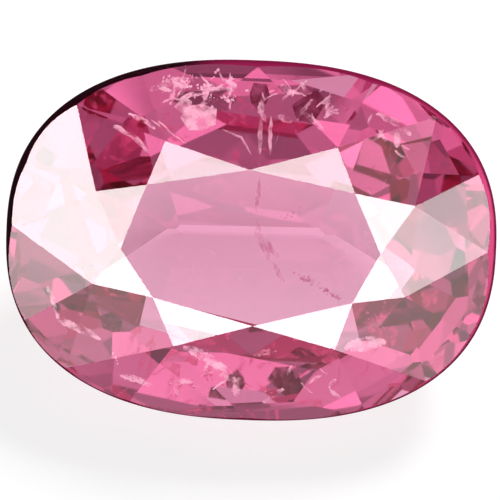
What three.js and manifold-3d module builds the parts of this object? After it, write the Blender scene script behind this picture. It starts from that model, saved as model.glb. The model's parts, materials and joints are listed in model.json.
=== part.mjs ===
// A loose cut pink sapphire: an oval mixed cut, with a brilliant crown over a stepped pavilion that ends in a
// short keel. Millimetres and degrees. The stone is cut table up in a frame of its own, with its long axis along
// X and z = 0 in the middle of the girdle. It is then laid down on the long facet beside the keel that it rests
// on, with +Z up.
import * as THREE from "three";
import { mergeVertices } from "three/addons/utils/BufferGeometryUtils.js";
import Module from "manifold-3d";

// Driving dimensions of the stone.
const LENGTH = 7.3;
const WIDTH = 5.41;
const CORNER_FULLNESS = 2.41; // exponent of the outline: 2 is an ellipse, and more fills the corners
const TABLE_HEIGHT = 0.88; // of the table above the middle of the girdle
const KEEL_WIDTH = 0.2; // of the narrow flat that ends the pavilion
const OUTLINE_STEPS = 120;

// The girdle's wall draws in above and below its middle, less below, with a blunt edge between.
const UPPER_FLARE = 0.62;
const LOWER_FLARE = 0.25;
const EDGE_BLUNTNESS = 0.05;
const LOWER_RIM = 0.1; // how far below the middle of the girdle the pavilion begins
const WALL_HEIGHTS = [-0.32, -0.24, -0.16, -0.1, -0.06, -0.03, 0, 0.03, 0.06, 0.1, 0.16, 0.22, 0.3];

// The eight main facets of the crown, from the right-hand end round by the far side. Each has its corner of
// the table, the way it faces, and its foot: the point of the girdle that faces the way given, and the height
// there. After it come the height of the star facet's tip on the way to the next one, and the girdle point
// between them.
const MAIN_FACETS = [
  { corner: [1.91, 0], faces: -4, foot: 0, rim: 0.26, tip: 0.71, between: 25, betweenRim: 0.22 },
  { corner: [1.5, 0.88], faces: 55, foot: 54, rim: 0.16, tip: 0.71, between: 74, betweenRim: 0.16 },
  { corner: [-0.06, 1.17], faces: 90.5, foot: 90, rim: 0.17, tip: 0.7, between: 106, betweenRim: 0.18 },
  { corner: [-1.57, 0.89], faces: 123, foot: 126, rim: 0.21, tip: 0.75, between: 158, betweenRim: 0.21 },
  { corner: [-1.92, -0.07], faces: 186.5, foot: 179, rim: 0.19, tip: 0.68, between: 209, betweenRim: 0.11 },
  { corner: [-1.42, -0.78], faces: 231, foot: 234, rim: 0.12, tip: 0.72, between: 254, betweenRim: 0.12 },
  { corner: [0.07, -1.15], faces: 272.5, foot: 270, rim: 0.13, tip: 0.685, between: 287, betweenRim: 0.13 },
  { corner: [1.53, -0.75], faces: 307, foot: 306, rim: 0.15, tip: 0.71, between: 332, betweenRim: 0.17 },
];

// The rows of the pavilion from the girdle down: the row's usual slope, how far in from the girdle it starts,
// and its facets, each as the way it faces and its own slope.
const PAVILION_ROWS = [
  {
    slope: 63,
    inset: 0,
    facets: [
      [-3, 63.5], [37, 64.5], [59, 63], [89, 59.5], [114, 64.5], [143, 60.5],
      [179, 63], [221, 66], [239, 67], [272, 64.5], [300, 61], [321, 60.5],
    ],
  },
  {
    slope: 50,
    inset: 0.39,
    facets: [
      [4, 52.5], [36, 53], [61, 48], [82, 51.5], [111, 49.5], [146, 48.5],
      [175, 49.5], [216, 51.5], [242, 49.5], [256, 48], [290, 48.5], [319, 50.5],
    ],
  },
  {
    slope: 39.5,
    inset: 0.85,
    facets: [[3, 39], [40, 42.5], [88, 41], [137, 41.5], [184, 40.5], [217, 41], [266, 41], [315, 39]],
  },
  {
    slope: 30,
    inset: 1.55,
    facets: [[6, 33], [48, 30], [91, 29.5], [132, 30.5], [181, 34], [232, 30.5], [270, 29.5], [311, 30]],
  },
];
const RESTS_ON = 270; // the facet of the last row that the stone lies on, by the way it faces

const wasm = await Module();
wasm.setup();

const radians = THREE.MathUtils.degToRad;
const cutterSize = 3 * LENGTH;

// The outline's point that faces an angle, drawn in by an inset.
function outlinePoint(facing, inset, height) {
  const exponent = CORNER_FULLNESS / (CORNER_FULLNESS - 1);
  const [cosine, sine] = [Math.cos(facing), Math.sin(facing)];
  const along = (LENGTH / 2) ** exponent * Math.abs(cosine) ** (exponent - 1) * Math.sign(cosine);
  const across = (WIDTH / 2) ** exponent * Math.abs(sine) ** (exponent - 1) * Math.sign(sine);
  const shrink = (along * cosine + across * sine) ** ((exponent - 1) / exponent);
  return new THREE.Vector3(along / shrink - inset * cosine, across / shrink - inset * sine, height);
}

// How far the girdle's wall draws in at a height above or below its middle.
function wallInset(height) {
  const flare = height > 0 ? UPPER_FLARE : LOWER_FLARE;
  return flare * (Math.hypot(height, EDGE_BLUNTNESS) - EDGE_BLUNTNESS);
}

function girdlePoint(facing, height) {
  return outlinePoint(radians(facing), wallInset(height), height);
}

function toSolid(geometry) {
  geometry.deleteAttribute("normal");
  geometry.deleteAttribute("uv");
  const merged = mergeVertices(geometry, 1e-5);
  return new wasm.Manifold(
    new wasm.Mesh({
      numProp: 3,
      vertProperties: Float32Array.from(merged.attributes.position.array),
      triVerts: Uint32Array.from(merged.index.array),
    }),
  );
}

function toGeometry(solid) {
  const mesh = solid.getMesh();
  const geometry = new THREE.BufferGeometry();
  geometry.setAttribute("position", new THREE.Float32BufferAttribute(mesh.vertProperties, 3));
  geometry.setIndex(Array.from(mesh.triVerts));
  geometry.computeVertexNormals();
  return geometry;
}

// The blank that the facets are cut from: a column of the outline's oval, with the girdle's wall around its
// middle.
function blankSolid() {
  const heights = [-WIDTH, ...WALL_HEIGHTS, WIDTH];
  const profile = heights.map((height) => new THREE.Vector2(1, height));
  profile.unshift(new THREE.Vector2(0, -WIDTH));
  profile.push(new THREE.Vector2(0, WIDTH));
  const geometry = new THREE.LatheGeometry(profile, OUTLINE_STEPS);
  geometry.rotateX(Math.PI / 2);
  const position = geometry.attributes.position;
  const lowest = WALL_HEIGHTS[0];
  const highest = WALL_HEIGHTS.at(-1);
  for (let index = 0; index < position.count; index += 1) {
    const [x, y, height] = [position.getX(index), position.getY(index), position.getZ(index)];
    const onTheWall = Math.hypot(x, y) > 0.5;
    if (onTheWall) {
      const inset = wallInset(THREE.MathUtils.clamp(height, lowest, highest));
      const point = outlinePoint(Math.atan2(y, x), inset, height);
      position.setXYZ(index, point.x, point.y, point.z);
    }
  }
  return toSolid(geometry);
}

// Grinds a flat facet: everything beyond the plane through the point, on the side of the normal, goes.
function cutFacet(solid, point, normal) {
  const cutter = new THREE.BoxGeometry(cutterSize, cutterSize, cutterSize);
  cutter.translate(0, 0, cutterSize / 2);
  cutter.applyQuaternion(new THREE.Quaternion().setFromUnitVectors(new THREE.Vector3(0, 0, 1), normal));
  cutter.translate(point.x, point.y, point.z);
  return solid.subtract(toSolid(cutter));
}

// A crown facet through three meet points, facing up.
function cutThrough(solid, first, second, third) {
  const plane = new THREE.Plane().setFromCoplanarPoints(first, second, third);
  const normal = plane.normal.z > 0 ? plane.normal : plane.normal.negate();
  return cutFacet(solid, first, normal);
}

// The plane of a main facet: it holds its table corner and its foot, and faces its own way.
function mainPlane({ corner, faces, foot, rim }) {
  const top = new THREE.Vector3(corner[0], corner[1], TABLE_HEIGHT);
  const bottom = girdlePoint(foot, rim);
  const facing = new THREE.Vector3(Math.cos(radians(faces)), Math.sin(radians(faces)), 0);
  const run = bottom.clone().sub(top).dot(facing);
  const normal = facing.multiplyScalar((TABLE_HEIGHT - rim) / run).setZ(1).normalize();
  return { top, bottom, plane: new THREE.Plane().setFromNormalAndCoplanarPoint(normal, top) };
}

// Where two main facets meet at a height: the tip of the star facet between them.
function starTip(left, right, height) {
  const ridge = new THREE.Vector3().crossVectors(left.normal, right.normal);
  const level = new THREE.Plane(new THREE.Vector3(0, 0, 1), -height);
  const start = ridge
    .clone()
    .cross(right.normal)
    .multiplyScalar(left.constant)
    .add(left.normal.clone().cross(ridge).multiplyScalar(right.constant))
    .divideScalar(ridge.lengthSq());
  return start.addScaledVector(ridge, -level.distanceToPoint(start) / ridge.z);
}

function cutCrown(blank) {
  let solid = cutFacet(blank, new THREE.Vector3(0, 0, TABLE_HEIGHT), new THREE.Vector3(0, 0, 1));
  const mains = MAIN_FACETS.map(mainPlane);
  MAIN_FACETS.forEach(({ tip, between, betweenRim }, index) => {
    const main = mains[index];
    const next = mains[(index + 1) % mains.length];
    const star = starTip(main.plane, next.plane, tip);
    const middle = girdlePoint(between, betweenRim);
    solid = cutFacet(solid, main.top, main.plane.normal);
    solid = cutThrough(solid, main.top, next.top, star);
    solid = cutThrough(solid, star, main.bottom, middle);
    solid = cutThrough(solid, star, middle, next.bottom);
  });
  return solid;
}

function pavilionNormal(faces, slope) {
  const level = Math.sin(radians(slope));
  return new THREE.Vector3(
    level * Math.cos(radians(faces)),
    level * Math.sin(radians(faces)),
    -Math.cos(radians(slope)),
  );
}

function cutPavilion(blank) {
  let solid = blank;
  let height = -LOWER_RIM;
  let inset = wallInset(height);
  let slope = 0;
  for (const row of PAVILION_ROWS) {
    const start = Math.max(row.inset, inset);
    height -= (start - inset) * Math.tan(radians(slope));
    inset = start;
    slope = row.slope;
    for (const [faces, lean] of row.facets) {
      solid = cutFacet(solid, outlinePoint(radians(faces), inset, height), pavilionNormal(faces, lean));
    }
  }
  const keelHeight = height - (WIDTH / 2 - inset - KEEL_WIDTH / 2) * Math.tan(radians(slope));
  return cutFacet(solid, new THREE.Vector3(0, 0, keelHeight), new THREE.Vector3(0, 0, -1));
}

const sapphire = new THREE.Mesh(
  toGeometry(cutPavilion(cutCrown(blankSolid()))),
  new THREE.MeshStandardMaterial({ color: 0xd7799f, roughness: 0.04, metalness: 0 }),
);
sapphire.name = "sapphire";

// Laid on its resting facet, with the origin under the middle of the stone.
const laid = new THREE.Group();
const restingFacet = PAVILION_ROWS.at(-1).facets.find(([faces]) => faces === RESTS_ON);
laid.rotation.x = radians(restingFacet[1]);
laid.add(sapphire);
const stone = new THREE.Group();
stone.add(laid);
const box = new THREE.Box3().setFromObject(stone, true);
const middle = box.getCenter(new THREE.Vector3());
laid.position.set(-middle.x, -middle.y, -box.min.z);
stone.updateMatrixWorld(true);

export default stone;
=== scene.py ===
"""A loose pink sapphire on a pale table: an oval mixed cut with its inclusions, in a tent and a soft lamp.

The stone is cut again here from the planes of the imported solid, with a finer girdle. It is laid out in a
frame of its own, in millimetres, with x along its length, z up through its table, and the middle of the
girdle at z = 0.
"""

import json
import math
import random

import bmesh
import bpy
from bpy.props import FloatProperty, FloatVectorProperty, IntProperty, PointerProperty
from mathutils import Matrix, Quaternion, Vector, noise


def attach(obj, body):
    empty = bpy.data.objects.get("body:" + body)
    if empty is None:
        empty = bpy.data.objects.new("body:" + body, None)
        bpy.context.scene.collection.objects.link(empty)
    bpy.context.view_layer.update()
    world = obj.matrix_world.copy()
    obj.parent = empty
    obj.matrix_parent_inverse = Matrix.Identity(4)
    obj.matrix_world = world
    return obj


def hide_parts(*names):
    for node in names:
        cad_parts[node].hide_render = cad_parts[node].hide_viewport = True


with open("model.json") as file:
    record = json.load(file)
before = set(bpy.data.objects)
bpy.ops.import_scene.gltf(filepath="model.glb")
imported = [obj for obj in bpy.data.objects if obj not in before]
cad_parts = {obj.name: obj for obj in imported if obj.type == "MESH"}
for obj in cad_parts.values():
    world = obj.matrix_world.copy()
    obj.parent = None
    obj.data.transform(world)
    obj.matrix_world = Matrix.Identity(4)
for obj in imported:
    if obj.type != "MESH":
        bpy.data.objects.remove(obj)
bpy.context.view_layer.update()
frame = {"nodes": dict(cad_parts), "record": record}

bl_info = {
    "name": "Pink Sapphire",
    "version": (1, 0, 0),
    "blender": (4, 5, 0),
    "location": "View3D > Sidebar > Sapphire",
    "description": "Cuts an oval pink sapphire, sets its inclusions and lays it on a pale table",
    "category": "Add Mesh",
}

MM = 0.001
PHOTO_PIXELS = 500
BOUNCES = 32

CAD_STONE = frame["nodes"]["sapphire"]
MOUNTS = {mount["name"]: mount for mount in frame["record"]["mounts"]}

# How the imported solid's faces are told apart. Those steeper than these, in degrees, belong to the girdle's
# wall. Those as close as this to the plane of a wider one are part of its facet, and the smallest ones are
# left out.
CROWN_STEEPEST = 45.0
PAVILION_STEEPEST = 71.0
SAME_FACET_ANGLE = 0.8
SAME_FACET_GAP = 0.004 * MM
SMALLEST_FACET = 0.002 * MM * MM

# How finely the stone is cut, in metres, and the steps of its girdle's wall above its middle and below.
CUT_TOLERANCE = 1e-9
SHORTEST_EDGE = 1e-8
WALL_STEPS = 8

# The looks of the girdle's wall, in millimetres. The ways that its lit end, a painted glow, and its side of
# painted shade lie are given along the stone and across it. Each sets in between two reaches that way from
# the row's origin, and the blunt edge ends between two heights above the middle of the girdle.
LIT_WAY = (0.9, -0.4)
LIT_FROM = (2.2, 4.4)
SHADE_WAY = (-0.78, 0.62)
SHADE_FROM = (3.2, 3.8)
EDGE_ENDS = (0.08, 0.15)

# How much of the frosting the light from inside the stone gets through.
CLEAR_FROM_INSIDE = 0.8

# How fine the clouds and grains of the materials are, per metre, and how high the grains stand.
WALL_GRAIN = 9000.0
WALL_PATCHES = 420.0
INCLUSION_CLOUDS = 4000.0
INCLUSION_VEILS = 6000.0
TABLE_GRAIN = 3000.0
GRAIN_HEIGHT = 0.01 * MM

# The pale table and the lamp behind the stone, in metres.
FLOOR_GAP = 0.02 * MM
FLOOR_RADIUS = 0.6
FLOOR_CORNERS = 96
LAMP_SIZE = 0.06
LAMP_PLACE = (0.05, 0.09, 0.12)

# What the tent gives to the camera and to the pale table, and how much of the table's glow the stone's
# polish leaves out.
TENT_SEEN = 1.0
TENT_FILL = 0.16
GLOW_LEFT_OUT = 0.6

# How far above the axis of the stone's table facet the camera stands, in degrees, and which way the table
# facet mirrors its view: the heading round that axis and the lean from it.
VIEW_TILT = 7.7
TABLE_MIRRORS = (270.0, VIEW_TILT)

# The tent's panels keep this share of their contrast everywhere. Their full contrast is added to it round
# the way that the table facet mirrors the camera's view, and sets in between these angles from there.
PANEL_SHARE = 0.4
PANEL_ANGLES = (60.0, 40.0)

# The tent's lights, as the stone's polish mirrors them and as its facets gather them. Each has its heading
# round the table facet's axis and how far it leans from that axis, its radius and the softness of its rim,
# all in degrees, and its strength. A negative strength takes light away.
MIRRORED_LIGHTS = (
    (*TABLE_MIRRORS, 38.0, 2.0, 9.9),
    (*TABLE_MIRRORS, 20.5, 1.5, -9.9),
    (*TABLE_MIRRORS, 14.0, 4.0, 0.35),
    (89.0, 26.0, 14.0, 4.0, -1.6),
    (8.0, 24.0, 8.0, 3.0, 2.4),
    (174.0, 52.0, 26.0, 3.0, 4.5),
    (196.0, 49.7, 6.0, 2.0, 6.3),
    (181.0, 54.0, 6.0, 2.0, 6.3),
    (150.0, 52.5, 4.5, 1.0, 6.3),
    (355.0, 46.0, 14.0, 4.0, 4.8),
    (340.0, 40.0, 8.0, 4.0, 1.8),
    (222.0, 54.0, 14.0, 6.0, 1.5),
    (240.0, 53.0, 8.0, 3.0, 0.5),
    (318.0, 54.0, 18.0, 6.0, 1.8),
    (49.0, 43.0, 5.0, 2.0, 0.9),
)
GATHERED_LIGHTS = (
    (*TABLE_MIRRORS, 20.5, 2.0, -0.1),
    (270.0, 31.0, 12.0, 5.0, 0.4),
    (0.0, 31.0, 13.0, 4.0, 0.44),
    (90.0, 31.0, 14.0, 4.0, 0.32),
    (180.0, 54.0, 26.0, 6.0, 0.6),
    (180.0, 31.0, 11.0, 4.0, 0.2),
    (72.0, 54.0, 12.0, 4.0, 0.4),
    (108.0, 78.0, 13.0, 4.0, 0.48),
)


# The stone's own frame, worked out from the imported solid.


def stone_axes():
    """Along the stone, across it, and up through its table, as unit vectors of the row frame."""
    up = Vector(MOUNTS["table"]["axis"]).normalized()
    along = Vector((1.0, 0.0, 0.0))
    return along, up.cross(along), up


def girdle_box():
    """The length and width of the outline in metres, and the middle of the girdle."""
    along, across, up = stone_axes()
    corners = [vertex.co for vertex in CAD_STONE.data.vertices]
    ends = [corner.dot(along) for corner in corners]
    sides = [corner.dot(across) for corner in corners]
    right_end = max(corners, key=lambda corner: corner.dot(along))
    middle = along * (max(ends) + min(ends)) / 2 + across * (max(sides) + min(sides)) / 2
    return max(ends) - min(ends), max(sides) - min(sides), middle + up * right_end.dot(up)


def stone_matrix():
    """Takes a point of the stone's frame, in millimetres, to the row frame, in metres."""
    along, across, up = stone_axes()
    turn = Matrix((along, across, up)).transposed().to_4x4()
    return Matrix.Translation(girdle_box()[2]) @ turn @ Matrix.Scale(MM, 4)


# Materials.


class Value:
    """A socket's value, so that shader maths can be written as Python expressions."""

    def __init__(self, tree, socket):
        self.tree = tree
        self.socket = socket

    def maths(self, operation, *others):
        node = self.tree.nodes.new("ShaderNodeMath")
        node.operation = operation
        for slot, other in zip(node.inputs, (self, *others)):
            connect(self.tree, slot, other)
        return Value(self.tree, node.outputs[0])

    def __add__(self, other):
        return self.maths("ADD", other)

    def __radd__(self, other):
        return self.maths("ADD", other)

    def __mul__(self, other):
        return self.maths("MULTIPLY", other)

    def __rmul__(self, other):
        return self.maths("MULTIPLY", other)

    def __sub__(self, other):
        return self.maths("SUBTRACT", other)

    def __rsub__(self, other):
        return (self * -1.0) + other

    def ramp(self, low, high):
        """0 below low and 1 above high, with a smooth step between; low may be the larger."""
        node = self.tree.nodes.new("ShaderNodeMapRange")
        node.interpolation_type = "SMOOTHSTEP"
        connect(self.tree, node.inputs["Value"], self)
        node.inputs["From Min"].default_value = low
        node.inputs["From Max"].default_value = high
        return Value(self.tree, node.outputs["Result"])


def connect(tree, slot, value):
    if isinstance(value, Value):
        tree.links.new(value.socket, slot)
    elif isinstance(value, bpy.types.NodeSocket):
        tree.links.new(value, slot)
    else:
        slot.default_value = value


class Shader:
    """A node tree that is added to by node type, settings and socket values."""

    def __init__(self, owner):
        owner.use_nodes = True
        self.tree = owner.node_tree
        self.tree.nodes.clear()

    def add(self, kind, settings=None, inputs=None):
        node = self.tree.nodes.new("ShaderNode" + kind)
        for name, setting in (settings or {}).items():
            setattr(node, name, setting)
        for name, value in (inputs or {}).items():
            connect(self.tree, node.inputs[name], value)
        return node

    def value(self, node, output=0):
        return Value(self.tree, node.outputs[output])

    def noise(self, place, scale, detail):
        node = self.add("TexNoise", inputs={"Vector": place, "Scale": scale, "Detail": detail})
        return self.value(node, "Fac")

    def mix(self, factor, first, second):
        node = self.add("Mix", {"data_type": "RGBA"})
        connect(self.tree, node.inputs[0], factor)
        for slot, colour in zip((node.inputs[6], node.inputs[7]), (first, second)):
            connect(self.tree, slot, colour if not isinstance(colour, tuple) else (*colour, 1.0))
        return node.outputs[2]

    def place(self):
        """Object coordinates, in metres of the row frame."""
        return self.add("TexCoord").outputs["Object"]

    def along(self, place, direction):
        node = self.add("VectorMath", {"operation": "DOT_PRODUCT"}, {0: place, 1: tuple(direction)})
        return self.value(node, "Value")

    def bump(self, height, distance, strength):
        node = self.add("Bump", inputs={"Height": height, "Distance": distance, "Strength": strength})
        return node.outputs["Normal"]

    def finish(self, surface, volume=None):
        output = self.add("OutputMaterial", inputs={"Surface": surface})
        if volume is not None:
            connect(self.tree, output.inputs["Volume"], volume)


def new_material(name):
    material = bpy.data.materials.new(name)
    return material, Shader(material)


def sapphire_material(stone):
    """Clear pink corundum, frosted on its girdle, darker at its edge, with painted light at one end and
    painted shade on one side.
    """
    material, shader = new_material("pink_sapphire")
    place = shader.place()
    along, across, up = stone_axes()
    ground = shader.value(shader.add("Attribute", {"attribute_name": "ground"}), "Fac")
    worn = shader.value(shader.add("Attribute", {"attribute_name": "worn"}), "Fac")
    polished = shader.add(
        "BsdfPrincipled",
        inputs={
            "Base Color": (1.0, 1.0, 1.0, 1.0),
            "Roughness": ground * stone.girdle_roughness + worn * stone.pavilion_roughness,
            "IOR": stone.refraction,
            "Transmission Weight": 1.0,
        },
    )
    middle = girdle_box()[2]
    grain = shader.noise(place, WALL_GRAIN, detail=3.0)
    patchy = shader.noise(place, WALL_PATCHES, detail=2.0)

    def reach(way):
        """How far that way a place is from the row's origin, in millimetres."""
        return shader.along(place, (along * way[0] + across * way[1]) / MM)

    height = shader.along(place, up / MM) - middle.dot(up) / MM
    inner = (height + 0.03 * grain).ramp(*EDGE_ENDS)
    # The lit end is a painted glow: the wall's colour is lighter towards the end where light would come
    # through it.
    lit = (reach(LIT_WAY) + 4.0 * patchy).ramp(*LIT_FROM)
    # Painted shade: the wall's colour turns near black towards one side of the stone.
    painted_shade = (reach(SHADE_WAY) + 1.2 * patchy).ramp(*SHADE_FROM)
    wall = shader.mix(lit, tuple(stone.rim_colour), tuple(stone.glow_colour))
    wall = shader.mix(inner, tuple(stone.edge_colour), wall)
    wall = shader.mix(painted_shade, wall, tuple(stone.painted_shade_colour))
    frosted = shader.add(
        "BsdfPrincipled",
        inputs={
            "Base Color": wall,
            "Roughness": 0.5 + 0.3 * grain,
            "Specular IOR Level": 0.0,
            "Normal": shader.bump(grain, GRAIN_HEIGHT, strength=0.4),
        },
    )
    inside = shader.value(shader.add("NewGeometry"), "Backfacing")
    frost = ground * stone.frosting * (1.0 - CLEAR_FROM_INSIDE * inside)
    surface = shader.add("MixShader", inputs={"Fac": frost})
    connect(shader.tree, surface.inputs[1], polished.outputs[0])
    connect(shader.tree, surface.inputs[2], frosted.outputs[0])
    volume = shader.add(
        "VolumeAbsorption", inputs={"Color": (*stone.tint, 1.0), "Density": stone.tint_density}
    )
    shader.finish(surface.outputs[0], volume.outputs[0])
    return material


# Cutting the stone.


def outline_point(facing, inset, length, width, fullness):
    """The outline's point that faces an angle, drawn in by an inset, as x and y in the stone's plane."""
    exponent = fullness / (fullness - 1)
    cosine, sine = math.cos(facing), math.sin(facing)
    along = math.copysign((length / 2) ** exponent * abs(cosine) ** (exponent - 1), cosine)
    across = math.copysign((width / 2) ** exponent * abs(sine) ** (exponent - 1), sine)
    reach = (along * cosine + across * sine) ** (1 / exponent)
    shrink = reach ** (exponent - 1)
    return along / shrink - inset * cosine, across / shrink - inset * sine


def polished_facets():
    """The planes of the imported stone's facets but not its girdle, widest first, as normals and offsets."""
    up = stone_axes()[2]
    crown_limit = math.cos(math.radians(CROWN_STEEPEST))
    pavilion_limit = -math.cos(math.radians(PAVILION_STEEPEST))
    same_way = math.cos(math.radians(SAME_FACET_ANGLE))
    mesh = CAD_STONE.data
    facets = []
    for polygon in sorted(mesh.polygons, key=lambda each: -each.area):
        lean = polygon.normal.dot(up)
        if pavilion_limit < lean < crown_limit:
            continue
        offset = polygon.normal.dot(polygon.center)
        known = any(
            normal.dot(polygon.normal) > same_way
            and abs(normal.dot(polygon.center) - level) < SAME_FACET_GAP
            for normal, level in facets
        )
        if not known and polygon.area > SMALLEST_FACET:
            facets.append((polygon.normal.copy(), offset))
    return facets


def girdle_blank(stone):
    """A column of the stone's outline, with the girdle's wall round its middle, in the row frame."""
    length, width, middle = girdle_box()
    along, across, up = stone_axes()

    def wall_inset(height):
        flare = stone.upper_flare if height > 0 else stone.lower_flare
        return flare * (math.hypot(height, stone.edge_bluntness) - stone.edge_bluntness)

    heights = [stone.wall_depth * step / WALL_STEPS for step in range(-WALL_STEPS, WALL_STEPS + 1)]
    heights = [-width, *heights, width]
    blank = bmesh.new()
    rings = []
    for height in heights:
        inset = wall_inset(max(-stone.wall_depth, min(stone.wall_depth, height)))
        ring = []
        for step in range(stone.outline_steps):
            facing = math.tau * (step + 0.5) / stone.outline_steps
            x, y = outline_point(facing, inset, length, width, stone.corner_fullness)
            ring.append(blank.verts.new(middle + along * x + across * y + up * height))
        rings.append(ring)
    for lower, upper in zip(rings, rings[1:]):
        for step in range(stone.outline_steps):
            after = (step + 1) % stone.outline_steps
            blank.faces.new((lower[step], lower[after], upper[after], upper[step])).smooth = True
    blank.faces.new(reversed(rings[0]))
    blank.faces.new(rings[-1])
    return blank


def grind(solid, normal, offset):
    """Cuts away all that lies beyond a plane, and closes the cut with a flat facet."""
    everything = solid.verts[:] + solid.edges[:] + solid.faces[:]
    cut = bmesh.ops.bisect_plane(
        solid,
        geom=everything,
        dist=CUT_TOLERANCE,
        plane_co=normal * offset,
        plane_no=normal,
        clear_outer=True,
    )
    rim = [part for part in cut["geom_cut"] if isinstance(part, bmesh.types.BMEdge)]
    if rim:
        for facet in bmesh.ops.contextual_create(solid, geom=rim)["faces"]:
            facet.smooth = False


def finish_piece(name, solid, material):
    """Turns a bmesh in the row frame into a piece that rides with the stone."""
    bmesh.ops.recalc_face_normals(solid, faces=solid.faces[:])
    mesh = bpy.data.meshes.new(name)
    solid.to_mesh(mesh)
    solid.free()
    mesh.materials.append(material)
    piece = bpy.data.objects.new(name, mesh)
    bpy.context.scene.collection.objects.link(piece)
    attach(piece, "root")
    return piece


class SapphireStone(bpy.types.PropertyGroup):
    """The girdle's shape and the look of the crystal."""

    corner_fullness: FloatProperty(
        name="Corner fullness",
        description="Exponent of the outline: 2 is an ellipse, and more fills the corners",
        default=2.41,
        min=1.5,
        max=6.0,
    )
    upper_flare: FloatProperty(
        name="Upper flare",
        description="How fast the girdle's wall draws in above its middle",
        default=0.62,
        min=0.0,
        max=1.0,
    )
    lower_flare: FloatProperty(
        name="Lower flare",
        description="How fast the girdle's wall draws in below its middle",
        default=0.25,
        min=0.0,
        max=1.0,
    )
    edge_bluntness: FloatProperty(
        name="Edge bluntness",
        description="Half height of the rounded edge at the middle of the girdle",
        default=0.05 * MM,
        unit="LENGTH",
        precision=6,
    )
    wall_depth: FloatProperty(
        name="Wall depth",
        description="How far the girdle's wall reaches above and below its middle",
        default=0.32 * MM,
        unit="LENGTH",
        precision=6,
    )
    outline_steps: IntProperty(
        name="Outline steps",
        description="Faces around the girdle",
        default=360,
        min=60,
        max=1440,
    )
    refraction: FloatProperty(
        name="Refraction",
        description="Index of refraction of corundum",
        default=1.765,
        min=1.0,
        max=3.0,
    )
    tint: FloatVectorProperty(
        name="Tint",
        description="Colour that the crystal absorbs least",
        subtype="COLOR",
        size=3,
        min=0.0,
        max=1.0,
        default=(0.767, 0.017, 0.383),
    )
    tint_density: FloatProperty(
        name="Tint density",
        description="How much the crystal absorbs, per metre",
        default=300.0,
        min=0.0,
    )
    girdle_roughness: FloatProperty(
        name="Girdle roughness",
        description="Roughness of the ground girdle",
        subtype="FACTOR",
        default=0.16,
        min=0.0,
        max=1.0,
    )
    pavilion_roughness: FloatProperty(
        name="Pavilion roughness",
        description="How far the polish of the pavilion has worn off",
        subtype="FACTOR",
        default=0.03,
        min=0.0,
        max=1.0,
    )
    frosting: FloatProperty(
        name="Frosting",
        description="How much of the girdle's ground wall is frosted over",
        subtype="FACTOR",
        default=0.97,
        min=0.0,
        max=1.0,
    )
    rim_colour: FloatVectorProperty(
        name="Rim",
        description="Colour of the girdle's ground wall",
        subtype="COLOR",
        size=3,
        min=0.0,
        max=1.0,
        default=(0.3, 0.012, 0.07),
    )
    # A painted glow on the girdle's wall, at the end where light comes through it.
    glow_colour: FloatVectorProperty(
        name="Glow",
        description="Colour of the girdle's wall at the end where light comes through it",
        subtype="COLOR",
        size=3,
        min=0.0,
        max=1.0,
        default=(0.95, 0.1, 0.3),
    )
    edge_colour: FloatVectorProperty(
        name="Edge",
        description="Colour of the girdle's outermost edge",
        subtype="COLOR",
        size=3,
        min=0.0,
        max=1.0,
        default=(0.2, 0.005, 0.045),
    )
    # The colour of the painted shade on one side of the girdle's wall.
    painted_shade_colour: FloatVectorProperty(
        name="Painted shade",
        description="Colour of the dark side of the girdle",
        subtype="COLOR",
        size=3,
        min=0.0,
        max=1.0,
        default=(0.01, 0.0008, 0.0025),
    )


class SAPPHIRE_OT_cut_stone(bpy.types.Operator):
    """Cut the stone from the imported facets"""

    bl_idname = "sapphire.cut_stone"
    bl_label = "Cut the stone"

    def execute(self, context):
        settings = context.scene.sapphire_stone
        solid = girdle_blank(settings)
        for normal, offset in polished_facets():
            grind(solid, normal, offset)
        bmesh.ops.dissolve_degenerate(solid, dist=SHORTEST_EDGE, edges=solid.edges[:])
        if any(not edge.is_manifold for edge in solid.edges):
            raise RuntimeError("the cut stone isn't closed")
        up = stone_axes()[2]
        ground = solid.faces.layers.float.new("ground")
        worn = solid.faces.layers.float.new("worn")
        for face in solid.faces:
            face.normal_update()
            face[ground] = 1.0 if face.smooth else 0.0
            face[worn] = 1.0 if not face.smooth and face.normal.dot(up) < 0 else 0.0
        piece = finish_piece("cut_sapphire", solid, sapphire_material(settings))
        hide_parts("sapphire")
        return {"FINISHED"}


# Inclusions, in degrees and in millimetres of the stone's frame.

# A healed crack's rings along it, its lanes across it and its thickness. Its bend and the fraying of its
# rim are shares of its length and width, and its noise begins anywhere between the starts.
SHEET_STEPS = 28
SHEET_LANES = 6
SHEET_THICKNESS = 0.012
SHEET_BEND = 0.12
SHEET_FRAY = 0.8
NOISE_STARTS = (0.0, 50.0)

# A platelet's corners and thickness, and how far the parts of its quaternion stray from level.
PLATE_CORNERS = 7
PLATE_THICKNESS = 0.02
PLATE_STRAY = 0.3

# The ranges that the wisps and the pale crystals are drawn from. A wisp's width is a share of its length.
WISP_LEANS = (10.0, 80.0)
WISP_LENGTHS = (0.1, 0.3)
WISP_WIDTH = 0.4
CRYSTAL_SIZES = (0.02, 0.07)

# The silk's fine needles: where their middles lie, half their length, their width, how many ways they lie,
# the heading of the first way, and how far they stray from their way.
SILK_PLACES = ((-2.6, 2.6), (-1.6, 1.6), (-1.0, 0.2))
SILK_HALVES = (0.05, 0.15)
SILK_WIDTH = 0.004
SILK_WAYS = 3
SILK_HEADING = 8.0
SILK_STRAY = 2.0

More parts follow.
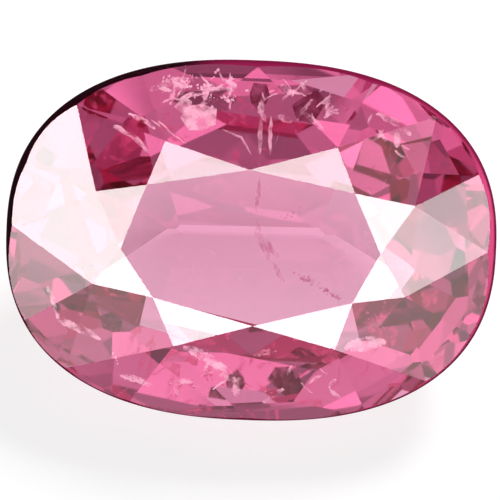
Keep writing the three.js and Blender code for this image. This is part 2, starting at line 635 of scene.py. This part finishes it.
# Healed cracks that catch the light: middle, heading and lean, length, width.
FEATHERS = (
    ((-1.75, 1.42, -0.05), -35, 62, 0.7, 0.2),
    ((-1.62, 1.62, -0.2), -30, 50, 0.5, 0.14),
    ((-2.82, -0.98, -0.1), -72, 70, 0.5, 0.16),
    ((-2.45, -1.34, 0.0), -20, 40, 0.7, 0.16),
    ((-0.6, -1.62, 0.12), -32, 55, 0.8, 0.24),
    ((-0.38, -1.8, 0.02), -38, 30, 0.6, 0.2),
    ((0.26, -1.5, 0.15), 15, 60, 0.36, 0.14),
    ((1.7, -1.36, 0.12), 8, 35, 0.65, 0.26),
    ((-0.75, 2.12, -0.12), 12, 58, 0.8, 0.24),
    ((-1.3, 2.2, -0.25), 20, 40, 0.6, 0.22),
    ((0.46, 2.22, -0.2), -58, 70, 0.3, 0.07),
    ((0.6, 2.22, -0.15), 52, 66, 0.36, 0.07),
    ((0.7, 1.9, -0.1), 60, 50, 0.4, 0.1),
    ((0.85, 1.72, -0.1), -40, 50, 0.4, 0.1),
    ((2.0, 1.75, -0.25), -28, 40, 0.6, 0.2),
    ((-1.6, -2.05, -0.1), -14, 50, 0.5, 0.14),
    ((0.4, -2.2, -0.1), 40, 60, 0.4, 0.12),
)
# Clouds of small healed cracks: middle, spread along each axis, how many.
WISPS = (
    ((-0.9, 2.12, -0.15), (1.1, 0.4, 0.2), 22),
    ((0.5, 1.95, -0.15), (1.5, 0.6, 0.25), 20),
    ((2.1, 1.5, -0.2), (1.0, 0.6, 0.25), 12),
    ((0.1, -1.95, -0.15), (2.6, 0.5, 0.25), 16),
)
# The smoky crack under the table and its branches: their points and widths. A broken line is drawn through
# the points, with so many steps from each to the next and so much swing.
CRACK_STEPS = 5
CRACK_SWING = 0.015
CRACKS = (
    (((0.1, 0.95, -0.7), (0.08, 0.7, -0.65), (0.06, 0.42, -0.62)), 0.06),
    (((0.07, 0.34, -0.6), (0.1, 0.1, -0.6), (0.2, -0.08, -0.62), (0.3, -0.3, -0.62)), 0.11),
    (((0.22, 0.04, -0.62), (0.32, -0.12, -0.6), (0.44, -0.25, -0.58)), 0.07),
    (((0.32, -0.3, -0.61), (0.42, -0.46, -0.6), (0.52, -0.6, -0.6)), 0.07),
)
# Fine fibres, drawn like the cracks: their points and widths.
FIBRE_STEPS = 4
FIBRE_SWING = 0.01
FIBRES = (
    (((0.07, 1.76, -0.1), (0.07, 1.5, 0.0), (0.08, 1.2, 0.12)), 0.07),
    (((0.22, 1.78, -0.12), (0.22, 1.5, 0.0), (0.23, 1.2, 0.1)), 0.06),
    (((-0.5, 1.56, 0.0), (-0.2, 1.46, 0.05), (-0.04, 1.2, 0.12)), 0.035),
    (((-1.5, 1.62, -0.25), (-1.25, 1.45, -0.1), (-1.0, 1.3, 0.0)), 0.03),
    (((-1.25, 2.3, -0.3), (-1.1, 2.15, -0.2), (-1.16, 2.0, -0.15)), 0.04),
    (((-1.05, 2.42, -0.35), (-1.12, 2.25, -0.25), (-0.95, 2.1, -0.2)), 0.035),
    (((-0.85, 2.35, -0.3), (-0.7, 2.2, -0.2), (-0.72, 2.02, -0.15)), 0.04),
    (((-0.6, 2.45, -0.35), (-0.5, 2.28, -0.25), (-0.35, 2.2, -0.2)), 0.03),
    (((-0.4, 2.4, -0.3), (-0.38, 2.2, -0.2), (-0.42, 2.0, -0.15)), 0.035),
)
# Trails of dark grains: from, to, how many, and how big. They stray from the trail and vary in size.
TRAIL_SPREAD = 0.04
TRAIL_SHARES = (0.5, 1.4)
TRAILS = (
    ((0.65, -0.42, -0.42), (1.36, -0.8, -0.42), 44, 0.055),
    ((2.72, 0.12, 0.36), (3.3, 0.2, 0.16), 16, 0.03),
    ((0.7, 0.5, -0.6), (0.36, 0.34, -0.6), 10, 0.04),
)
# Nests of pale crystals: middle, spread, how many.
NESTS = (
    ((-1.2, 2.25, -0.25), 0.3, 16),
    ((-0.75, 2.2, -0.2), 0.3, 24),
    ((-0.35, 2.15, -0.15), 0.22, 12),
    ((3.02, 1.35, -0.08), 0.14, 12),
    ((-1.9, -1.72, 0.0), 0.12, 6),
)
# Dark platelets, sheets of painted shade where the crystal looks dark under the table, and pale ones that
# catch the light: middle, size.
SHADE_PLATES = (((0.04, 2.04, -0.22), 0.42), ((0.8, 1.93, -0.2), 0.5))
PALE_PLATES = (((-0.84, 1.74, 0.02), 0.58), ((-1.05, 1.9, 0.0), 0.3), ((-1.15, 2.2, -0.1), 0.22))


class Drawing:
    """A mesh that is drawn in the stone's frame."""

    def __init__(self):
        self.solid = bmesh.new()

    def loft(self, tips, loops):
        """Joins closed loops of points, and closes both ends on a tip."""
        tips = [self.solid.verts.new(tip) for tip in tips]
        loops = [[self.solid.verts.new(point) for point in loop] for loop in loops]
        count = len(loops[0])
        for first, second in zip(loops, loops[1:]):
            for index in range(count):
                after = (index + 1) % count
                self.solid.faces.new((first[index], first[after], second[after], second[index]))
        for tip, loop in zip(tips, (loops[0], loops[-1])):
            for index in range(count):
                self.solid.faces.new((tip, loop[index], loop[(index + 1) % count]))

    def thread(self, points, thickness):
        """A fibre along the points, thickest in the middle and sharp at both ends."""
        points = [Vector(point) for point in points]
        loops = []
        for index in range(1, len(points) - 1):
            run = points[index + 1] - points[index - 1]
            side = run.cross(Vector((0.3, 0.2, 1.0))).normalized()
            over = run.cross(side).normalized()
            radius = thickness / 2 * math.sin(math.pi * index / (len(points) - 1)) ** 0.5
            loops.append([points[index] + corner * radius for corner in (side, over, -side, -over)])
        self.loft((points[0], points[-1]), loops)

    def sheet(self, middle, heading, lean, length, width, start):
        """A healed crack: a bent sheet with a frayed rim, thin as a lens. Its noise begins at the start."""
        heading, lean = math.radians(heading), math.radians(lean)
        along = Vector((math.cos(heading), math.sin(heading), 0.0))
        level = Vector((-math.sin(heading), math.cos(heading), 0.0))
        aside = level * math.cos(lean) + Vector((0.0, 0.0, math.sin(lean)))
        normal = along.cross(aside)

        def point(share, across, side):
            rim = noise.noise(Vector((start + 9 * share, 3 * math.copysign(1, across), 0.0)))
            reach = width / 2 * math.sqrt(max(0.0, 1 - share * share)) * (1 + SHEET_FRAY * rim)
            ripple = 0.5 * noise.noise(Vector((start, 2 * share, 2 * across)))
            rise = SHEET_BEND * length * (share * share / 2 + ripple)
            rise += side * SHEET_THICKNESS / 2 * (1 - across * across)
            return Vector(middle) + along * share * length / 2 + aside * across * reach + normal * rise

        lanes = [(lane / SHEET_LANES, 1) for lane in range(-SHEET_LANES, SHEET_LANES + 1)]
        lanes += [(lane / SHEET_LANES, -1) for lane in range(SHEET_LANES - 1, -SHEET_LANES, -1)]
        loops = []
        for step in range(1, SHEET_STEPS):
            share = 2 * step / SHEET_STEPS - 1
            loops.append([point(share, across, side) for across, side in lanes])
        self.loft((point(-1, 0, 0), point(1, 0, 0)), loops)

    def grain(self, middle, size, draw):
        """A rounded crystal, squashed and turned."""
        middle = Vector(middle)
        squash = Vector([draw.uniform(0.45, 1.0) for _ in range(3)])
        turn = Quaternion([draw.uniform(-1.0, 1.0) for _ in range(4)]).normalized()
        for vertex in bmesh.ops.create_icosphere(self.solid, subdivisions=2, radius=size / 2)["verts"]:
            swell = 1 + 0.3 * noise.noise(vertex.co * (3 / size) + middle * 10)
            vertex.co = middle + turn @ (vertex.co * squash) * swell

    def plate(self, middle, size, turn, draw):
        """A flat platelet with a handful of uneven corners."""
        reaches = [size / 2 * draw.uniform(0.65, 1.2) for _ in range(PLATE_CORNERS)]
        loops = []
        for height in (-PLATE_THICKNESS / 2, PLATE_THICKNESS / 2):
            loop = []
            for step, reach in enumerate(reaches):
                angle = math.tau * step / PLATE_CORNERS
                corner = Vector((math.cos(angle) * reach, math.sin(angle) * reach, height))
                loop.append(Vector(middle) + turn @ corner)
            loops.append(loop)
        self.loft([sum(loop, Vector()) / PLATE_CORNERS for loop in loops], loops)

    def finish(self, name, material):
        self.solid.transform(stone_matrix())
        finish_piece(name, self.solid, material)


def between(start, end, share):
    return Vector(start).lerp(Vector(end), share)


def lies_inside(place, reach):
    """Whether the crystal, which is convex, holds all that is within a reach of a place."""
    spot = stone_matrix() @ Vector(place)
    faces = CAD_STONE.data.polygons
    return all(face.normal.dot(face.center - spot) > reach * MM for face in faces)


def scatter(middle, spread, draw):
    return Vector(middle) + Vector([draw.gauss(0.0, spread / 2) for _ in range(3)])


def jagged(points, steps, swing, draw):
    """A broken line through the points, with every step but the ends pushed aside."""
    line = []
    for start, end in zip(points, points[1:]):
        for step in range(steps):
            push = swing if line else 0.0
            aside = Vector([draw.uniform(-push, push) for _ in range(3)])
            line.append(between(start, end, step / steps) + aside)
    return [*line, Vector(points[-1])]


def inclusion_material(name, colour, lightest, glow, least=1.0, most=1.0):
    """A frosted finish whose colour wanders and glows with painted light, and whose opacity wanders between
    the least and the most.
    """
    material, shader = new_material(name)
    place = shader.place()
    cloud = shader.noise(place, INCLUSION_CLOUDS, detail=3.0)
    tone = shader.mix(cloud, tuple(colour), tuple(lightest))
    surface = shader.add(
        "BsdfPrincipled",
        inputs={
            "Base Color": tone,
            "Roughness": 0.4 + 0.3 * cloud,
            # The emission is painted light: a glow that stands in for the light that the inclusion catches.
            "Emission Color": tone,
            "Emission Strength": glow,
            "Alpha": most,
            "Normal": shader.bump(cloud, GRAIN_HEIGHT, strength=0.5),
        },
    )
    if least < most:
        veil = shader.noise(place, INCLUSION_VEILS, detail=2.0).ramp(0.35, 0.65)
        connect(shader.tree, surface.inputs["Alpha"], least + (most - least) * veil)
    shader.finish(surface.outputs[0])
    return material


class SapphireInclusions(bpy.types.PropertyGroup):
    """What the crystal grew around, and its healed cracks."""

    seed: IntProperty(name="Seed", description="Start of the random draws", default=11)
    feather_colour: FloatVectorProperty(
        name="Feathers",
        description="Colour of the healed cracks that catch the light",
        subtype="COLOR",
        size=3,
        min=0.0,
        max=1.0,
        default=(1.0, 0.62, 0.76),
    )
    palest_feather: FloatVectorProperty(
        name="Palest feathers",
        description="Colour of the healed cracks and pale crystals where they are palest",
        subtype="COLOR",
        size=3,
        min=0.0,
        max=1.0,
        default=(1.0, 0.8, 0.88),
    )
    palest_silk: FloatVectorProperty(
        name="Palest silk",
        description="Colour of the fibres and pale platelets where they are palest",
        subtype="COLOR",
        size=3,
        min=0.0,
        max=1.0,
        default=(1.0, 0.85, 0.9),
    )
    # The inclusions' glow is painted light.
    glow: FloatProperty(
        name="Glow",
        description="How much light the pale inclusions send back that they gather inside the crystal",
        default=0.4,
        min=0.0,
    )
    crack_colour: FloatVectorProperty(
        name="Cracks",
        description="Colour of the smoky cracks under the table",
        subtype="COLOR",
        size=3,
        min=0.0,
        max=1.0,
        default=(0.48, 0.15, 0.28),
    )
    mist_colour: FloatVectorProperty(
        name="Mist",
        description="Colour of the smoky cracks where they are palest",
        subtype="COLOR",
        size=3,
        min=0.0,
        max=1.0,
        default=(0.6, 0.22, 0.38),
    )
    # The dark platelets are sheets of painted shade.
    shade_plate_colour: FloatVectorProperty(
        name="Platelets",
        description="Colour of the dark platelets",
        subtype="COLOR",
        size=3,
        min=0.0,
        max=1.0,
        default=(0.14, 0.006, 0.035),
    )
    palest_shade_plate: FloatVectorProperty(
        name="Palest platelets",
        description="Colour of the dark platelets where they are palest",
        subtype="COLOR",
        size=3,
        min=0.0,
        max=1.0,
        default=(0.24, 0.015, 0.07),
    )
    # The dark platelets' glow is painted light.
    shade_plate_glow: FloatProperty(
        name="Platelet glow",
        description="How much light the dark platelets send back that they gather inside the crystal",
        default=0.3,
        min=0.0,
    )
    silk_count: IntProperty(
        name="Silk",
        description="How many fine needles lie in the crystal, in three directions",
        default=24,
        min=0,
    )


class Studio(bpy.types.PropertyGroup):
    """The table, the light and the camera."""

    floor_colour: FloatVectorProperty(
        name="Floor",
        description="Colour of the pale table",
        subtype="COLOR",
        size=3,
        min=0.0,
        max=1.0,
        default=(0.3, 0.3, 0.3),
    )
    floor_glow: FloatProperty(
        name="Glow",
        description="Light that comes up through the table, as from a light box",
        default=0.82,
        min=0.0,
    )
    lamp_power: FloatProperty(
        name="Lamp",
        description="Power of the soft lamp behind the stone",
        default=0.22,
        min=0.0,
        unit="POWER",
    )
    mirrored_dim: FloatProperty(
        name="Mirrored",
        description="What the stone's polish mirrors beside the tent's lights",
        default=0.06,
        min=0.0,
    )
    gathered_dim: FloatProperty(
        name="Gathered",
        description="What the stone's facets gather beside the tent's lights",
        default=0.46,
        min=0.0,
    )
    panel_contrast: FloatProperty(
        name="Panel contrast",
        description="How much the tent's panels differ",
        default=1.15,
        min=0.0,
    )
    panel_scale: FloatProperty(
        name="Panel scale",
        description="How many panels there are, more or less, along an edge of the tent",
        default=12.0,
        min=0.1,
    )
    view_tilt: FloatProperty(
        name="View tilt",
        description="How far above the axis of the stone's table facet the camera stands",
        subtype="ANGLE",
        default=math.radians(VIEW_TILT),
    )
    camera_roll: FloatProperty(
        name="Roll",
        description="Turn of the camera about its own axis",
        subtype="ANGLE",
        default=math.radians(2.2),
    )
    focal_length: FloatProperty(
        name="Focal length",
        description="Focal length of the lens",
        default=400.0,
        min=20.0,
        subtype="DISTANCE_CAMERA",
    )
    pixel_size: FloatProperty(
        name="Pixel size",
        description="Size at the girdle of one pixel of the picture",
        default=0.01489 * MM,
        unit="LENGTH",
        precision=7,
    )
    framing: FloatVectorProperty(
        name="Framing",
        description="Where the middle of the girdle is in the picture, right of and above its centre",
        size=2,
        unit="LENGTH",
        precision=6,
        default=(0.018 * MM, 0.135 * MM),
    )


def lay_floor(studio):
    bm = bmesh.new()
    bmesh.ops.create_circle(bm, cap_ends=True, segments=FLOOR_CORNERS, radius=FLOOR_RADIUS)
    bmesh.ops.translate(bm, vec=(0.0, 0.0, -FLOOR_GAP), verts=bm.verts[:])
    mesh = bpy.data.meshes.new("table_top")
    bm.to_mesh(mesh)
    bm.free()
    material, shader = new_material("pale_table")
    grain = shader.noise(shader.place(), TABLE_GRAIN, detail=4.0)
    pale = tuple(studio.floor_colour)
    colour = shader.mix(grain, tuple(0.97 * part for part in pale), pale)
    ray = shader.add("LightPath")
    mirrored = shader.value(ray, "Is Glossy Ray") * (1.0 - shader.value(ray, "Is Transmission Ray"))
    surface = shader.add(
        "BsdfPrincipled",
        inputs={
            "Base Color": colour,
            "Roughness": 0.8,
            "Specular IOR Level": 0.0,
            "Emission Color": shader.mix(GLOW_LEFT_OUT * mirrored, (1.0, 1.0, 1.0), (0.0, 0.0, 0.0)),
            "Emission Strength": studio.floor_glow,
        },
    )
    shader.finish(surface.outputs[0])
    mesh.materials.append(material)
    floor = bpy.data.objects.new("table_top", mesh)
    bpy.context.scene.collection.objects.link(floor)


def hang_tent(studio):
    """A light tent, with lights of their own for what the stone's polish mirrors and its facets gather."""
    world = bpy.data.worlds.new("light_tent")
    bpy.context.scene.world = world
    shader = Shader(world)
    direction = shader.add("TexCoord").outputs["Generated"]
    ray = shader.add("LightPath")
    along, across, up = stone_axes()

    def angle_from(heading, lean):
        """Degrees from a direction that is given by its heading and lean, as the lights' are."""
        heading, lean = math.radians(heading), math.radians(lean)
        level = along * math.cos(heading) + across * math.sin(heading)
        towards = level * math.sin(lean) + up * math.cos(lean)
        return shader.along(direction, towards).maths("MINIMUM", 1.0).maths("ARCCOSINE") * math.degrees(1.0)

    def patches(lights):
        total = 0.0
        for heading, lean, radius, soft, strength in lights:
            total = angle_from(heading, lean).ramp(radius + soft, radius - soft) * strength + total
        return total

    panels = shader.add("TexVoronoi", inputs={"Vector": direction, "Scale": studio.panel_scale})
    panel = shader.along(panels.outputs["Color"], (1.0, 0.0, 0.0))
    panel = panel * panel
    middling = 1.0 / 3.0  # the mean of the squares of the numbers from 0 to 1
    near = angle_from(*TABLE_MIRRORS).ramp(*PANEL_ANGLES)
    panel = middling + (panel - middling) * (PANEL_SHARE + near)
    mirrored = patches(MIRRORED_LIGHTS) + studio.mirrored_dim
    gathered = patches(GATHERED_LIGHTS) + panel * studio.panel_contrast + studio.gathered_dim
    refracted = shader.value(ray, "Is Transmission Ray")
    strength = (
        shader.value(ray, "Is Camera Ray") * TENT_SEEN
        + shader.value(ray, "Is Diffuse Ray") * TENT_FILL
        + shader.value(ray, "Is Glossy Ray") * (1.0 - refracted) * mirrored
        + refracted * gathered
    )
    background = shader.add("Background", inputs={"Color": (1.0, 1.0, 1.0, 1.0), "Strength": strength})
    shader.add("OutputWorld", inputs={"Surface": background.outputs[0]})


def hang_lamp(studio):
    light = bpy.data.lights.new("soft_lamp", "AREA")
    light.shape = "DISK"
    light.size = LAMP_SIZE
    light.energy = studio.lamp_power
    lamp = bpy.data.objects.new("soft_lamp", light)
    lamp.location = LAMP_PLACE
    lamp.rotation_mode = "QUATERNION"
    lamp.rotation_quaternion = lamp.location.to_track_quat("Z", "Y")
    lamp.visible_camera = False
    lamp.visible_glossy = False
    lamp.visible_transmission = False
    bpy.context.scene.collection.objects.link(lamp)


def set_camera(studio):
    elevation = math.asin(stone_axes()[2].z) + studio.view_tilt
    back = Vector((0.0, -math.cos(elevation), math.sin(elevation)))
    turn = Quaternion(back, studio.camera_roll) @ (-back).to_track_quat("-Z", "Y")
    right, up = turn @ Vector((1.0, 0.0, 0.0)), turn @ Vector((0.0, 1.0, 0.0))
    data = bpy.data.cameras.new("camera")
    data.lens = studio.focal_length
    data.dof.use_dof = False
    distance = studio.pixel_size * PHOTO_PIXELS * data.lens / data.sensor_width
    data.clip_start = distance / 100
    data.clip_end = distance * 20
    camera = bpy.data.objects.new("camera", data)
    camera.rotation_mode = "QUATERNION"
    camera.rotation_quaternion = turn
    offset_right, offset_up = studio.framing
    camera.location = girdle_box()[2] - right * offset_right - up * offset_up + back * distance
    bpy.context.scene.collection.objects.link(camera)
    bpy.context.scene.camera = camera


class SAPPHIRE_OT_set_feathers(bpy.types.Operator):
    """Set the healed cracks and pale crystals that catch the light"""

    bl_idname = "sapphire.set_feathers"
    bl_label = "Set the feathers"

    def execute(self, context):
        settings = context.scene.sapphire_inclusions
        draw = random.Random(settings.seed)
        feathers = Drawing()
        for middle, heading, lean, length, width in FEATHERS:
            feathers.sheet(middle, heading, lean, length, width, draw.uniform(*NOISE_STARTS))
        for middle, spread, count in WISPS:
            for _ in range(count):
                place = Vector(middle) + Vector([side * draw.uniform(-0.5, 0.5) for side in spread])
                turn, lean = draw.uniform(0.0, 180.0), draw.uniform(*WISP_LEANS)
                length = draw.uniform(*WISP_LENGTHS)
                start = draw.uniform(*NOISE_STARTS)
                if lies_inside(place, length / 2):
                    feathers.sheet(place, turn, lean, length, length * WISP_WIDTH, start)
        pale, palest = settings.feather_colour, settings.palest_feather
        healed = inclusion_material("healed_crack", pale, palest, settings.glow, least=0.0, most=0.48)
        feathers.finish("feathers", healed)
        crystals = Drawing()
        for middle, spread, count in NESTS:
            for _ in range(count):
                place, size = scatter(middle, spread, draw), draw.uniform(*CRYSTAL_SIZES)
                if lies_inside(place, size):
                    crystals.grain(place, size, draw)
        crystals.finish("crystals", inclusion_material("pale_crystal", pale, palest, settings.glow))
        return {"FINISHED"}


class SAPPHIRE_OT_set_cracks(bpy.types.Operator):
    """Set the smoky cracks, fibres, grains and platelets"""

    bl_idname = "sapphire.set_cracks"
    bl_label = "Set the cracks"

    def execute(self, context):
        settings = context.scene.sapphire_inclusions
        draw = random.Random(settings.seed + 1)
        smoke, mist = settings.crack_colour, settings.mist_colour
        cracks = Drawing()
        for line, width in CRACKS:
            cracks.thread(jagged(line, CRACK_STEPS, CRACK_SWING, draw), width)
        for start, end, count, size in TRAILS:
            for _ in range(count):
                grain = scatter(between(start, end, draw.random()), TRAIL_SPREAD, draw)
                cracks.grain(grain, size * draw.uniform(*TRAIL_SHARES), draw)
        smoky = inclusion_material("smoky_crack", smoke, mist, settings.glow, least=0.05, most=0.38)
        cracks.finish("cracks", smoky)
        fibres = Drawing()
        for line, width in FIBRES:
            fibres.thread(jagged(line, FIBRE_STEPS, FIBRE_SWING, draw), width)
        for _ in range(settings.silk_count):
            middle = Vector([draw.uniform(*reach) for reach in SILK_PLACES])
            way = 180 / SILK_WAYS * draw.randrange(SILK_WAYS) + SILK_HEADING
            heading = math.radians(way + draw.gauss(0.0, SILK_STRAY))
            half = Vector((math.cos(heading), math.sin(heading), 0.0)) * draw.uniform(*SILK_HALVES)
            fibres.thread((middle - half, middle, middle + half), SILK_WIDTH)
        pale, palest = settings.feather_colour, settings.palest_silk
        silk = inclusion_material("silk", pale, palest, settings.glow, least=0.1, most=0.5)
        fibres.finish("silk", silk)
        # The dark platelets are sheets of painted shade, where the crystal looks dark under the table.
        tone, light_tone = settings.shade_plate_colour, settings.palest_shade_plate
        dark = inclusion_material("platelet", tone, light_tone, settings.shade_plate_glow, least=0.35, most=0.85)
        bright = inclusion_material("bright_platelet", pale, palest, settings.glow, least=0.1, most=0.7)
        kinds = (("platelets", dark, SHADE_PLATES), ("bright_platelets", bright, PALE_PLATES))
        for name, material, places in kinds:
            plates = Drawing()
            for middle, size in places:
                turn = Quaternion((1.0, *[draw.uniform(-PLATE_STRAY, PLATE_STRAY) for _ in range(3)]))
                plates.plate(middle, size, turn.normalized(), draw)
            plates.finish(name, material)
        return {"FINISHED"}


class SAPPHIRE_OT_set_stage(bpy.types.Operator):
    """Lay the table, hang the light and set the camera"""

    bl_idname = "sapphire.set_stage"
    bl_label = "Set the stage"

    def execute(self, context):
        scene = context.scene
        lay_floor(scene.sapphire_studio)
        hang_tent(scene.sapphire_studio)
        hang_lamp(scene.sapphire_studio)
        set_camera(scene.sapphire_studio)
        scene.view_settings.view_transform = "Standard"
        scene.cycles.max_bounces = BOUNCES
        scene.cycles.transmission_bounces = BOUNCES
        scene.cycles.glossy_bounces = BOUNCES
        scene.cycles.blur_glossy = 0.0
        scene.cycles.sample_clamp_indirect = 0.0
        return {"FINISHED"}


class SAPPHIRE_PT_panel(bpy.types.Panel):
    """The steps in the sidebar, in order"""

    bl_idname = "SAPPHIRE_PT_panel"
    bl_label = "Pink Sapphire"
    bl_space_type = "VIEW_3D"
    bl_region_type = "UI"
    bl_category = "Sapphire"

    def draw(self, context):
        for operator in OPERATORS:
            self.layout.operator(operator.bl_idname)


OPERATORS = (
    SAPPHIRE_OT_cut_stone,
    SAPPHIRE_OT_set_feathers,
    SAPPHIRE_OT_set_cracks,
    SAPPHIRE_OT_set_stage,
)
SETTINGS = {
    "sapphire_stone": SapphireStone,
    "sapphire_inclusions": SapphireInclusions,
    "sapphire_studio": Studio,
}


def register():
    for group in (*SETTINGS.values(), *OPERATORS, SAPPHIRE_PT_panel):
        bpy.utils.register_class(group)
    for name, group in SETTINGS.items():
        setattr(bpy.types.Scene, name, PointerProperty(type=group))


def unregister():
    for name in SETTINGS:
        delattr(bpy.types.Scene, name)
    for group in (SAPPHIRE_PT_panel, *reversed(OPERATORS), *reversed(list(SETTINGS.values()))):
        bpy.utils.unregister_class(group)


def main():
    register()
    bpy.ops.sapphire.cut_stone()
    bpy.ops.sapphire.set_feathers()
    bpy.ops.sapphire.set_cracks()
    bpy.ops.sapphire.set_stage()


if __name__ == "__main__":
    main()
